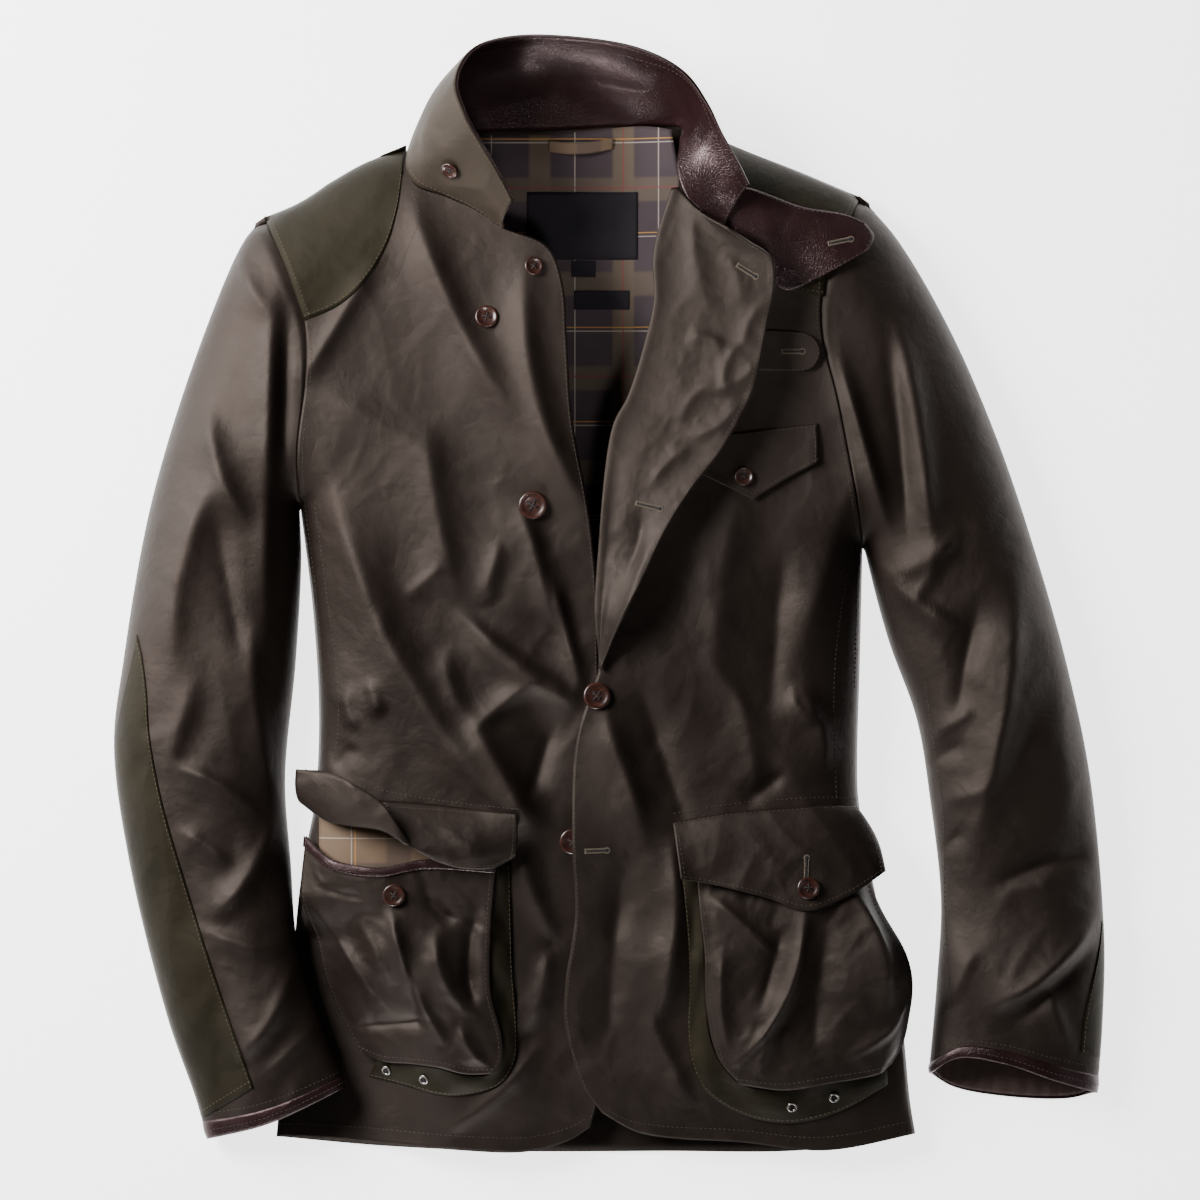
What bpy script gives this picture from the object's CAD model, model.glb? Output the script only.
# %% [markdown]
# # A waxed cotton field jacket
# The jacket lies on its back, seen from straight above. Each piece a maker would cut is a
# thin shell over a grid of two parameters, u across the piece and v along it.
# Tables and formulas are in millimetres, and meshes are made in metres.

import math

import bpy
import numpy as np
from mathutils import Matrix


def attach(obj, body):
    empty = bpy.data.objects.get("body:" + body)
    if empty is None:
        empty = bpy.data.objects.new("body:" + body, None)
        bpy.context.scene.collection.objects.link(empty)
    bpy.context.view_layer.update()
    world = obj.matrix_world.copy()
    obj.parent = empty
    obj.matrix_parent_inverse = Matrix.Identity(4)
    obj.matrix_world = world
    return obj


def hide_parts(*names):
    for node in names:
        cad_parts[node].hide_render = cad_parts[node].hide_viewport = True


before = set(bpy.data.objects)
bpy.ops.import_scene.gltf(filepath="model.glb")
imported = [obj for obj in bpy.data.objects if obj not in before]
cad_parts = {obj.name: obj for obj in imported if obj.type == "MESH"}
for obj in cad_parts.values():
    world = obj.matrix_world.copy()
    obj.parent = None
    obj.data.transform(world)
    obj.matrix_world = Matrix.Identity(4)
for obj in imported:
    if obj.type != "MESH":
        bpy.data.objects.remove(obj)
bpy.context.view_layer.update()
MM = 0.001
print("nodes:", len(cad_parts))

# %% [markdown]
# ## Curves and blends
# A curve runs smoothly through its points, and is read by its share of length.


# %% Curves
class Path:
    """A polyline that is read by its share of length, from 0 to 1."""

    def __init__(self, points):
        self.points = np.asarray(points, float)
        steps = np.linalg.norm(np.diff(self.points, axis=0), axis=1)
        self.along = np.concatenate([[0], np.cumsum(steps)])
        self.length = self.along[-1]

    def __call__(self, t):
        s = np.clip(t, 0, 1) * self.length
        return [np.interp(s, self.along, self.points[:, k]) for k in range(self.points.shape[1])]

    def every(self, step):
        n = max(2, round(self.length / step)) + 1
        return np.stack(self(np.linspace(0, 1, n)), axis=-1)


CHORD_STEPS = 24


def curve(*points):
    """Centripetal Catmull-Rom: cubic pieces whose slopes weigh each chord by its root length."""
    p = np.array(points, float)
    p = np.vstack([2 * p[0] - p[1], p, 2 * p[-1] - p[-2]])
    t = np.linspace(0, 1, CHORD_STEPS, endpoint=False)[:, None]
    pieces = []
    for a, b, c, d in zip(p, p[1:], p[2:], p[3:]):
        ta, tb, tc = (max(np.linalg.norm(q - r) ** 0.5, 1e-4) for q, r in ((b, a), (c, b), (d, c)))
        out = ((b - a) / ta - (c - a) / (ta + tb) + (c - b) / tb) * tb
        into = ((c - b) / tb - (d - b) / (tb + tc) + (d - c) / tc) * tb
        pieces.append(
            b + out * t + (3 * (c - b) - 2 * out - into) * t**2
            + (2 * (b - c) + out + into) * t**3
        )
    return Path(np.vstack([*pieces, p[-2][None]]))


def joined(first, second, corner=None):
    """Two curves end to end, the corner between them at a given share."""
    share = first.length / (first.length + second.length) if corner is None else corner
    t = np.linspace(0, 1, 401)
    a = np.stack(first(t), axis=-1)
    b = np.stack(second(t), axis=-1)
    path = Path(np.vstack([a, b[1:]]))
    if corner is not None:
        path.along = np.concatenate([t * share, share + t[1:] * (1 - share)]) * path.length
    return path


def reverse(path):
    return Path(path.points[::-1])


def stretch(path, low, high):
    return Path(np.stack(path(np.linspace(low, high, 200)), axis=-1))


def mix(a, b, share):
    return a + (b - a) * share


def ramp(value, low, high):
    """3t^2 - 2t^3 with t from 0 at low to 1 at high."""
    t = np.clip((value - low) / (high - low), 0, 1)
    return t * t * (3 - 2 * t)


def bump(value, centre, width):
    """exp(-((value - centre) / width)^2)"""
    return np.exp(-(((value - centre) / width) ** 2))


def ease(t):
    return (1 - np.cos(math.pi * t)) / 2


def plan(bottom, top, left, right, u, v, v_right=None):
    """Coons patch: (1-v) bottom(u) + v top(u) + (1-u) left(v) + u right(v) less the corners' blend."""
    v_right = v if v_right is None else v_right
    low, high, near, far = bottom(u), top(u), left(v), right(v_right)
    b0, b1, t0, t1 = bottom(0.0), bottom(1.0), top(0.0), top(1.0)
    return [
        mix(low[k], high[k], v) + mix(near[k], far[k], u)
        - mix(mix(b0[k], b1[k], u), mix(t0[k], t1[k], u), v)
        for k in (0, 1)
    ]


# %% The outline
shoulder_right = curve((-144, 332), (-177, 323), (-205, 308), (-228, 293), (-255, 281))
armhole_right = curve((-255, 281), (-237, 240), (-224, 203), (-223, 161), (-229, 110), (-229, 68))
sleeve_right_outer = curve(
    (-255, 281), (-270, 264), (-302, 190), (-339, 71), (-360, -47), (-367, -110),
    (-356, -195), (-327, -313), (-306, -373), (-298, -402),
)
sleeve_right_inner = curve(
    (-195, -363), (-214, -313), (-230, -262), (-236, -195), (-240, -135), (-232, -47),
    (-228, 27), (-229, 68),
)
side_right = curve(
    (-229, 68), (-219, -15), (-215, -90), (-218, -151), (-227, -200), (-225, -262),
    (-208, -312), (-190, -365), (-188, -420),
)
panel_side_right = curve(
    (-229, 68), (-219, -15), (-215, -90), (-218, -151), (-227, -200), (-235, -269),
    (-243, -358), (-247, -401),
)
shoulder_left = curve((186, 296), (141, 315), (100, 331), (56, 350))
armhole_left = curve(
    (186, 296), (169, 260), (157, 228), (156, 195), (167, 148), (178, 93), (188, 38)
)
sleeve_left_outer = curve(
    (362, -368), (366, -313), (367, -250), (357, -136), (341, -57), (319, 23), (288, 116),
    (252, 199), (214, 264), (186, 296),
)
sleeve_left_inner = curve(
    (188, 38), (207, -32), (228, -91), (238, -151), (246, -225), (243, -284), (237, -353)
)
side_left = curve(
    (227, -398), (223, -373), (216, -306), (199, -228), (185, -151), (184, -125),
    (186, -47), (188, 38),
)
hem_right = curve((-247, -401), (-205, -403), (-125, -409), (-60, -411), (-30, -403), (-14, -393))
edge_right = curve(
    (-14, -393), (-6, -360), (-7, -225), (-8, -32), (-10, 20), (-16, 71), (-27, 131),
    (-31, 190), (-34, 230), (-45, 257), (-76, 270),
)
neck_right = curve((-76, 270), (-95, 283), (-119, 294), (-141, 302), (-147, 313), (-144, 332))
hem_left = curve((-5, -382), (20, -396), (47, -401), (98, -404), (160, -410), (227, -398))
roll_line = curve(
    (-8, -56), (-4, 27), (7, 125), (18, 147), (30, 185), (37, 216), (37, 254), (50, 299)
)
edge_left = curve(
    (-5, -382), (-20, -360), (-33, -312), (-32, -285), (-25, -235), (-27, -180),
    (-24, -106), (-8, -56),
)
neck_left = curve((50, 299), (51, 312), (53, 332), (56, 350))
nape = curve((-144, 332), (-131, 340), (-101, 345), (-41, 347), (24, 353), (56, 350))
hem_back = curve((-247, -401), (-169, -408), (-81, -412), (38, -412), (150, -411), (227, -398))
print("side seams:", round(panel_side_right.length), round(side_left.length), "mm")

# %% [markdown]
# ## Heights
# Cloth rises from the outline as a quarter of an ellipse and then runs level. Folds and
# creases stand on that, each a ridge or trough along a slightly bent line.

# %% Folds
CLOTH = 1.8
RIM = 12.0
ROUNDING = 60.0
LEVELS = np.array([
    (-410, 19), (-350, 27), (-250, 37), (-150, 43), (-50, 47), (68, 50), (200, 49), (340, 45),
], float)
FOLDS = [  # x1 y1 x2 y2 bend width rise, from the upper end to the lower one
    (-208, 92, -70, -165, 19, 26, 8),
    (-134, 120, -112, 0, 3, 20, 5),
    (-66, 66, -44, -20, -3, 12, 5),
    (-143, 284, -70, 130, 6, 20, 7),
    (-62, 238, -16, 60, 15, 20, 8),
    (-172, 246, -224, 160, 0, 10, 3.5),
    (-215, 152, -120, 96, 0, 24, 3),
    (-52, -62, -100, -98, 2, 10, 4),
    (-102, -90, -56, -170, 0, 18, 7),
    (-108, -14, -24, -74, 4, 8, 4.5),
    (-98, -34, -24, -79, 3, 7, 3),
    (-42, 12, -21, -66, 0, 6, 4),
    (-80, 40, -92, -4, 0, 10, 3),
    (-122, 22, -148, 0, 0, 8, 2.5),
    (-178, -62, -168, -86, 0, 6, 2.5),
    (-194, -68, -186, -98, 3, 6, 2.5),
    (-188, -110, -202, -126, 0, 7, -2.5),
    (-120, -40, -104, -92, 4, 14, 3),
    (-40, -90, -60, -150, 0, 12, -4),
    (-64, -186, -40, -250, 4, 12, 4),
    (-46, -262, -62, -320, -5, 10, 4),
    (-50, -330, -120, -395, -6, 10, 3),
    (178, 82, 143, -35, 0, 24, 6),
    (128, 30, 118, -85, 0, 18, -4),
    (140, -68, 160, -128, -6, 13, 5),
    (134, -70, 152, -92, 4, 5, 2.5),
    (96, 80, 80, -70, 6, 26, 4),
    (88, -60, 108, -150, -5, 16, 3),
    (128, -130, 100, -152, 0, 8, -3),
    (-4, -84, 27, -175, 0, 16, 6),
    (24, -72, 56, -165, 0, 14, -4),
    (46, -184, 34, -314, -8, 15, 7),
    (12, -195, 2, -330, 4, 16, -4),
    (30, -310, 58, -372, 0, 10, 3),
    (-276, 264, -250, 208, 5, 12, 4),
    (-247, 216, -254, -30, 0, 16, 8),
    (-237, 208, -241, 90, 0, 8, -4),
    (-296, 140, -268, 56, 6, 14, 5),
    (-293, 82, -322, -50, 9, 17, 6),
    (-290, 64, -272, -40, 0, 12, -3),
    (-262, -20, -246, -150, 5, 16, 6),
    (-304, -60, -326, -128, 0, 9, 3),
    (-318, -126, -258, -162, -5, 9, 3.5),
    (-247, -162, -291, -236, -7, 14, 7),
    (-314, -172, -280, -196, 0, 8, 3),
    (-300, -244, -238, -262, 4, 8, 3),
    (-232, -268, -272, -340, -7, 13, 6),
    (-214, -316, -252, -352, 0, 9, 3),
    (214, 194, 237, 38, -3, 14, 6),
    (204, 194, 219, 50, -2, 9, -4),
    (169, 174, 208, 38, 0, 10, 5),
    (256, 44, 206, 16, -4, 8, 5),
    (242, 24, 222, -4, 0, 7, 3),
    (203, 16, 256, -22, 3, 7, 4),
    (300, 14, 264, -190, -8, 20, 7),
    (270, -8, 254, -95, 0, 12, -4),
    (266, -84, 240, -102, 0, 6, 3),
    (262, -108, 238, -122, 0, 6, -3),
    (278, -142, 246, -152, 0, 8, 3),
    (262, -172, 244, -188, 0, 7, -3),
    (362, -190, 286, -212, 4, 12, -4),
    (362, -234, 284, -302, -8, 14, 8),
    (358, -258, 300, -314, 0, 10, -4),
    (322, -288, 340, -334, 0, 8, 3),
    (268, -262, 250, -300, 0, 9, 3.5),
    (330, 0, 338, -170, 0, 22, 3),
]


def ridges(rows, x, y, least=3.0):
    """Each row adds rise * exp((s - sqrt(a^2 + s^2)) / flank), a the distance from its bent line.

    s is a fifth of the width or the least crest, so the crest is narrow and the flanks are long.
    The flank on the positive side is about twice the other, and the ends fade in and out.
    """
    total = np.zeros(np.broadcast(x, y).shape)
    for x1, y1, x2, y2, bend, width, rise in rows:
        dx, dy = x2 - x1, y2 - y1
        length = math.hypot(dx, dy)
        along = ((x - x1) * dx + (y - y1) * dy) / length**2
        bent = 4 * bend * along * (1 - along)
        aside = ((x - x1) * dy - (y - y1) * dx) / length - np.clip(bent, -40, 40)
        flank = 0.62 * width * (1 + 0.35 * np.tanh(aside / width))
        crest = max(width / 5, least)
        profile = np.exp((crest - np.sqrt(aside * aside + crest * crest)) / flank)
        total += rise * ramp(along, -0.15, 0.3) * ramp(along, 1.15, 0.7) * profile
    return total


def value_noise(x, y):
    """Smooth noise: hashed values at whole numbers, blended by 3t^2 - 2t^3."""
    i, j = np.floor(x), np.floor(y)
    fx, fy = ramp(x - i, 0, 1), ramp(y - j, 0, 1)

    def corner(a, b):
        h = np.sin(a * 127.1 + b * 311.7) * 43758.5453
        return h - np.floor(h)

    low = mix(corner(i, j), corner(i + 1, j), fx)
    high = mix(corner(i, j + 1), corner(i + 1, j + 1), fx)
    return mix(low, high, fy)


def crumple(x, y, size, turn=0.0, slant=1.0):
    """Soft crumples: 1 - |2n - 1| of warped noise, so that ridges are sharper than troughs."""
    c, s = math.cos(turn), math.sin(turn)
    a, b = (c * x + s * y) / size, (c * y - s * x) / (size * slant)
    a = a + 0.6 * value_noise(b * 1.3 + 7, a * 0.9 + 3)
    b = b + 0.6 * value_noise(a * 1.1 + 1, b * 1.2 + 5)
    n = 0.65 * value_noise(a, b) + 0.35 * value_noise(2.1 * a + 11, 2.1 * b + 4)
    return 1 - 2 * np.abs(2 * n - 1)


def height_at(x, y):
    """Level height of the cloth with its folds, before it falls to the outline."""
    k = np.clip(np.searchsorted(LEVELS[:, 0], y) - 1, 0, len(LEVELS) - 2)
    share = np.clip((y - LEVELS[k, 0]) / (LEVELS[k + 1, 0] - LEVELS[k, 0]), 0, 1)
    level = mix(LEVELS[k, 1], LEVELS[k + 1, 1], share * share * (3 - 2 * share))
    crown = 7 * bump(x, -15, 95) * ramp(y, -330, -120)
    slack = 0.35 + 0.2 * bump(y, -70, 130) + 0.3 * bump(np.abs(x), 290, 60) * ramp(y, 150, 20)
    slack = slack + 0.35 * ramp(y, -120, -260) * ramp(y, -410, -370)
    soft = 2.4 * crumple(x, y, 62, 0.5, 2.0) + 1.3 * crumple(x, y, 30, -0.5, 1.9)
    soft = soft + 0.7 * crumple(x, y, 15, 0.9, 1.9) * (0.3 + 0.7 * value_noise(x / 40, y / 40))
    return level + crown + 1.5 * ridges(FOLDS, x, y) + slack * soft


print("folds:", len(FOLDS))


# %% Surfaces
def distance(x, y, *paths):
    """Least distance to some polylines, and on which side of them the point lies."""
    x, y = np.broadcast_arrays(np.asarray(x, float), np.asarray(y, float))
    best, side = np.full(x.shape, np.inf), np.ones(x.shape)
    for path in paths:
        line = path.every(8)
        for (ax, ay), (bx, by) in zip(line, line[1:]):
            tx, ty = bx - ax, by - ay
            s = np.clip(((x - ax) * tx + (y - ay) * ty) / (tx * tx + ty * ty), 0, 1)
            px, py = x - ax - s * tx, y - ay - s * ty
            d = np.hypot(px, py)
            closer = d < best - 1e-9
            best = np.where(closer, d, best)
            side = np.where(closer, np.where(py * tx - px * ty < 0, -1, 1), side)
    return best, side


def both(a, b, blend=5.0):
    """Smooth minimum of two distances: -k log(exp(-a/k) + exp(-b/k))."""
    low = np.minimum(a, b)
    return np.maximum(low - blend * np.log1p(np.exp(-np.abs(a - b) / blend)), 0)


def rise_of(d, radius, flat=0.0):
    """sqrt(1 - (1 - d/radius)^2), or a plain smooth slope where the edge lies flat."""
    edge = 1 - np.clip(d / radius, 0, 1)
    return mix(np.sqrt(1 - edge * edge), ramp(d, 0, 1.3 * radius), flat)


def covered(x, y):
    """1 where the body's side lies flat under the right cuff."""
    return np.where(x < 0, ramp(y, -215, -255), 0)


UPPER_RIGHT = stretch(sleeve_right_outer, 0, 0.35)
UPPER_LEFT = stretch(sleeve_left_outer, 0.65, 1)


def body_distance(x, y):
    right = both(distance(x, y, shoulder_right)[0], distance(x, y, UPPER_RIGHT)[0])
    left = both(distance(x, y, shoulder_left)[0], distance(x, y, UPPER_LEFT)[0])
    d_right, way_right = distance(x, y, side_right)
    d_left, way_left = distance(x, y, side_left)
    d_right = np.where((way_right < 0) & (y < 60), 0, d_right)
    d_left = np.where((way_left < 0) & (y < 30), 0, d_left)
    return np.minimum(np.minimum(right, left), np.minimum(d_right, d_left))


def front_z(x, y, lift=0.0):
    """rim + (height - rim) * rise + lift"""
    flat = covered(x, y)
    up = np.sqrt(1 - (1 - flat) ** 2)
    rim = (RIM - 0.15) * (1 - flat) + 0.3 + 2 * CLOTH * up
    return rim + (height_at(x, y) - rim) * rise_of(body_distance(x, y), ROUNDING, flat) + lift


def back_z(x, y, lift=0.0):
    flat = covered(x, y)
    return (RIM - 0.15) * (1 - flat) * (1 - rise_of(body_distance(x, y), RIM, flat)) + lift


def tuck(x, y):
    """The right front goes under the left one below the open neck."""
    return -3.2 * ramp(x, -75, -42) * ramp(y, 120, 50)


def lifted(x, y):
    """The left front goes over the low button."""
    return 5 * bump(x, -24, 32) * bump(y, -180, 45)


# %% [markdown]
# ## Meshes
# A shell is a grid of points, the same grid moved in by its thickness, and a rim between.


# %% Shells
def normals_of(p, wrap=False):
    """Cross product of the grid's two directions at each point."""
    if wrap:
        du = np.roll(p, -1, axis=1) - np.roll(p, 1, axis=1)
    else:
        du = np.gradient(p, axis=1)
    n = np.cross(du, np.gradient(p, axis=0))
    return n / np.maximum(np.linalg.norm(n, axis=2, keepdims=True), 1e-9)


def mesh_object(name, points, faces, smooth=True):
    mesh = bpy.data.meshes.new(name)
    mesh.from_pydata(points.reshape(-1, 3).tolist(), [], faces)
    mesh.polygons.foreach_set("use_smooth", [smooth] * len(mesh.polygons))
    mesh.update()
    piece = bpy.data.objects.new(name, mesh)
    bpy.context.scene.collection.objects.link(piece)
    return piece


def grid_faces(rows, columns, wrap, first=0, flip=False):
    r = np.arange(rows - 1)[:, None]
    c = np.arange(columns if wrap else columns - 1)[None, :]
    a, b = r * columns + c, r * columns + (c + 1) % columns
    quads = np.stack([a, b, b + columns, a + columns], axis=-1).reshape(-1, 4) + first
    return quads[:, ::-1] if flip else quads


def area_of(p):
    """Square metres of a grid's surface."""
    n = np.cross(p[1:, 1:] - p[:-1, :-1], p[:-1, 1:] - p[1:, :-1])
    return np.linalg.norm(n, axis=2).sum() / 2 * MM * MM


def shell(name, p, thickness, wrap=False):
    """p[v, u] in millimetres, its outer side where u x v points."""
    rows, columns = p.shape[:2]
    inner = p - thickness * normals_of(p, wrap)
    n = rows * columns
    rim = []
    top = np.arange(columns)
    edges = [top[::-1], (rows - 1) * columns + top]
    if wrap:
        edges = [np.append(edges[0][-1:], edges[0]), np.append(edges[1], edges[1][:1])]
    else:
        side = np.arange(rows) * columns
        edges += [side, side[::-1] + columns - 1]
    for edge in edges:
        a, b = edge[:-1], edge[1:]
        rim.append(np.stack([a, a + n, b + n, b], axis=-1)[:, ::-1])
    quads = np.vstack([
        grid_faces(rows, columns, wrap), grid_faces(rows, columns, wrap, n, True), *rim
    ])
    area_of(p)
    return mesh_object(name + "_cloth", np.concatenate([p, inner]) * MM, quads.tolist())


def on_front(x, y, lift):
    """Over the rounded sides a lift also moves a point outwards, by lift * (1 - distance/radius)."""
    x, y = np.broadcast_arrays(x, y)
    z = front_z(x, y, lift)
    d = body_distance(x, y)
    away = np.stack([d - body_distance(x + 1, y), d - body_distance(x, y + 1)])
    away = away / np.maximum(np.hypot(*away), 0.3)
    beyond = (d <= 0) & (y < 30)
    away = np.where(beyond, np.stack([np.sign(x), 0 * y]), away)
    out = np.clip(1 - d / ROUNDING, 0, 1) * (1 - covered(x, y)) * np.maximum(lift, 0)
    return np.stack([x + away[0] * out, y + away[1] * out, z], axis=-1)


def steps(n):
    return np.linspace(0, 1, n)


def grid(columns, rows):
    return np.meshgrid(steps(columns), steps(rows))


def piece(name, made, material, slot, *nodes):
    """Give a piece its material and slot, and let it ride the body in place of solid nodes."""
    made.data.materials.append(material)
    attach(made, "root")
    if nodes:
        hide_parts(*nodes)
    return made


def cloth_piece(name, outer, thickness, material, slot, wrap=False):
    """A shell in place of the solid node of its name."""
    return piece(name, shell(name, outer, thickness, wrap), material, slot, name)


def part(name, points, faces, material, slot, *nodes):
    """A mesh from points in millimetres."""
    return piece(name, mesh_object(name, points * MM, faces), material, slot, *nodes)


# %% [markdown]
# ## Materials
# A wire is a node's output. Arithmetic on it makes nodes, and add() makes any other node.


# %% Node wires
class Wire:
    def __init__(self, tree, socket):
        self.tree, self.socket = tree, socket

    def add(self, kind, inputs, out=0, **settings):
        """A node of that kind, its inputs by name or number, and its settings by name."""
        node = self.tree.nodes.new("ShaderNode" + kind)
        for key, value in settings.items():
            setattr(node, key, value)
        for key, value in inputs.items():
            if isinstance(value, Wire):
                self.tree.links.new(value.socket, node.inputs[key])
            else:
                node.inputs[key].default_value = value
        return Wire(self.tree, node.outputs[out])

    def maths(self, operation, *others):
        return self.add("Math", dict(enumerate((self, *others))), operation=operation)

    def __add__(self, other):
        return self.maths("ADD", other)

    def __sub__(self, other):
        return self.maths("SUBTRACT", other)

    def __rsub__(self, other):
        return self.add("Math", {0: other, 1: self}, operation="SUBTRACT")

    def __mul__(self, other):
        return self.maths("MULTIPLY", other)

    def __truediv__(self, other):
        return self.maths("DIVIDE", other)

    def __abs__(self):
        return self.maths("ABSOLUTE")

    __radd__ = __add__
    __rmul__ = __mul__

    def between(self, low, high):
        return self.add("MapRange", {0: self, 1: low, 2: high, 3: 0.0, 4: 1.0},
                        interpolation_type="SMOOTHSTEP")

    def colour(self, a, b):
        """Colour a where the wire is 0, and b where it is 1."""
        a, b = (v if isinstance(v, Wire) else (*v, 1) for v in (a, b))
        return self.add("Mix", {0: self, 6: a, 7: b}, out=2, data_type="RGBA")

    def bump(self, height, distance, strength):
        inputs = {"Height": height, "Distance": distance, "Strength": strength}
        return self.add("Bump", inputs, out="Normal")


def noise(where, scale, detail=2.0, roughness=0.5, distortion=0.0):
    return where.add("TexNoise", {"Vector": where, "Scale": scale, "Detail": detail,
                                  "Roughness": roughness, "Distortion": distortion})


def squeezed(where, x, y, z):
    return where.add("VectorMath", {0: where, 1: (x, y, z)}, operation="MULTIPLY")


def material(name, build):
    """build(where) gives a dict of wires and numbers for the surface shader's inputs."""
    made = bpy.data.materials.new(name)
    made.use_nodes = True
    tree = made.node_tree
    shader = tree.nodes["Principled BSDF"]
    place = Wire(tree, tree.nodes.new("ShaderNodeTexCoord").outputs["Object"])
    for key, value in build(place).items():
        if isinstance(value, Wire):
            tree.links.new(value.socket, shader.inputs[key])
        else:
            shader.inputs[key].default_value = value
    return made


def weave(where, pitch):
    """Two crossed sines, the threads of a plain weave pitch metres apart."""
    axes = where.add("SeparateXYZ", {0: where})
    x = Wire(where.tree, axes.socket.node.outputs["X"])
    y = Wire(where.tree, axes.socket.node.outputs["Y"])
    turns = 2 * math.pi / pitch
    return (x * turns).maths("SINE") * (y * turns).maths("SINE")


def cloth(dark, light, rough, tint):
    def build(where):
        blotch = noise(where, 9.0, 3.0, 0.55, 0.6)
        wear = noise(where, 70.0, 3.0, 0.6, 0.4)
        tone = (blotch * 0.7 + wear * 0.3).between(0.3, 0.7)
        crinkle = abs(noise(where, 34.0, 3.0, 0.5, 0.3) - 0.5)
        grain = noise(where, 160.0, 4.0, 0.6) * 0.9 + weave(where, 0.0011) * 0.15
        height = grain + crinkle * 4.0
        return {
            "Base Color": tone.colour(dark, light),
            "Roughness": blotch * 0.12 + wear * 0.10 + rough,
            "Specular IOR Level": 0.40,
            "Specular Tint": (*tint, 1),
            "Normal": where.bump(height, 0.0006, 0.5),
        }

    return build


WAXED = material(
    "waxed cotton", cloth((0.0042, 0.0019, 0.0014), (0.0088, 0.0050, 0.0037), 0.45, (1.0, 0.83, 0.72))
)
OLIVE = material(
    "olive cotton", cloth((0.0044, 0.0033, 0.0015), (0.0085, 0.0066, 0.0031), 0.49, (0.52, 0.45, 0.33))
)
COLLAR_CLOTH = material(
    "collar cotton", cloth((0.0130, 0.0085, 0.0050), (0.0200, 0.0140, 0.0090), 0.52, (1.0, 0.86, 0.74))
)


def leather(where):
    cells = where.add("TexVoronoi", {"Vector": where, "Scale": 520.0}, feature="DISTANCE_TO_EDGE")
    grain = cells.between(0.0, 0.12)
    blotch = noise(where, 30.0, 4.0, 0.6)
    crease = abs(noise(where, 120.0, 3.0, 0.6, 1.5) - 0.5)
    height = grain * 0.14 + crease * 1.1
    return {
        "Base Color": blotch.between(0.3, 0.7).colour((0.0085, 0.0028, 0.0031), (0.0170, 0.0062, 0.0068)),
        "Roughness": blotch * 0.15 + 0.25,
        "Specular IOR Level": 0.45,
        "Specular Tint": (1.0, 0.76, 0.76, 1),
        "Normal": where.bump(height, 0.001, 0.5),
    }


def line_at(position, repeat, centre, width):
    """1 on a line that repeats every so many metres, and 0 off it."""
    place = (position / repeat).maths("FRACT")
    return 1 - abs(place - centre).between(width * 0.7, width)


PITCH_X = 0.062
PITCH_Y = 0.070


def checked(ground, band, shift, order="XY"):
    """Broad bands crossed with fine cream, red and ochre lines."""

    def build(where):
        axes = where.add("SeparateXYZ", {0: where})
        x, y = (Wire(where.tree, axes.socket.node.outputs[name]) + shift for name in order)
        band_x = line_at(x, PITCH_X, 0.3, 0.15)
        band_y = line_at(y, PITCH_Y, 0.6, 0.15)
        colour = band_x.colour(ground, band)
        colour = (band_y * 0.75).colour(colour, band)
        cream = line_at(x, PITCH_X, 0.72, 0.008).maths("MAXIMUM", line_at(y, PITCH_Y, 0.1, 0.007))
        red = line_at(x, 2 * PITCH_X, 0.15, 0.006)
        red = red.maths("MAXIMUM", line_at(y, 2 * PITCH_Y, 0.31, 0.005))
        ochre = line_at(y, PITCH_Y, 0.14, 0.007)
        colour = (cream * 0.7).colour(colour, (0.34, 0.28, 0.24))
        colour = (red * 0.7).colour(colour, (0.14, 0.018, 0.018))
        colour = (ochre * 0.7).colour(colour, (0.42, 0.20, 0.03))
        height = weave(where, 0.0007) * 0.1 + noise(where, 70.0, 3.0) * 0.8
        return {
            "Base Color": colour,
            "Roughness": 0.75,
            "Normal": where.bump(height, 0.001, 0.5),
        }

    return build


def label_cloth(where):
    return {
        "Base Color": noise(where, 60.0).colour((0.0080, 0.0062, 0.0088), (0.0150, 0.0120, 0.0150)),
        "Roughness": 0.7,
        "Specular IOR Level": 0.15,
        "Normal": where.bump(weave(where, 0.0006), 0.0001, 0.6),
    }


def horn(where):
    streak = noise(squeezed(where, 1.0, 3.0, 1.0), 220.0, 4.0, 0.6, 1.5)
    return {
        "Base Color": streak.between(0.35, 0.7).colour((0.012, 0.004, 0.003), (0.050, 0.015, 0.009)),
        "Roughness": 0.3,
        "Coat Weight": 0.15,
        "Coat Roughness": 0.2,
    }


def thread(colour):
    def build(where):
        twist = noise(where, 2500.0)
        return {"Base Color": twist.colour([c * 0.7 for c in colour], colour), "Roughness": 0.7}

    return build


def metal(where):
    return {
        "Base Color": noise(where, 400.0, 3.0).colour((0.22, 0.20, 0.18), (0.50, 0.47, 0.43)),
        "Metallic": 1.0,
        "Roughness": noise(where, 500.0) * 0.2 + 0.2,
    }


LEATHER = material("brown leather", leather)
CHECK = material("check lining", checked((0.030, 0.016, 0.020), (0.075, 0.051, 0.032), 1.0))
POCKET_CHECK = material(
    "pocket check", checked((0.125, 0.078, 0.045), (0.070, 0.045, 0.032), 0.9668, "YX")
)
SLEEVE_LINING = material(
    "sleeve lining", cloth((0.055, 0.034, 0.030), (0.100, 0.066, 0.058), 0.40, (1.0, 0.85, 0.78))
)
LABEL = material("label cloth", label_cloth)
HORN = material("horn", horn)
METAL = material("eyelet metal", metal)
EDGE_THREAD = material("edge thread", thread((0.110, 0.082, 0.056)))
THREAD = material("brown thread", thread((0.050, 0.036, 0.026)))
DARK_THREAD = material("dark thread", thread((0.014, 0.009, 0.007)))
GOLD_THREAD = material("ochre thread", thread((0.080, 0.058, 0.032)))
HOLE = material("dark hole", lambda where: {"Base Color": (0.004, 0.003, 0.003, 1), "Roughness": 0.9})
print("materials:", len(bpy.data.materials))

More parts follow.
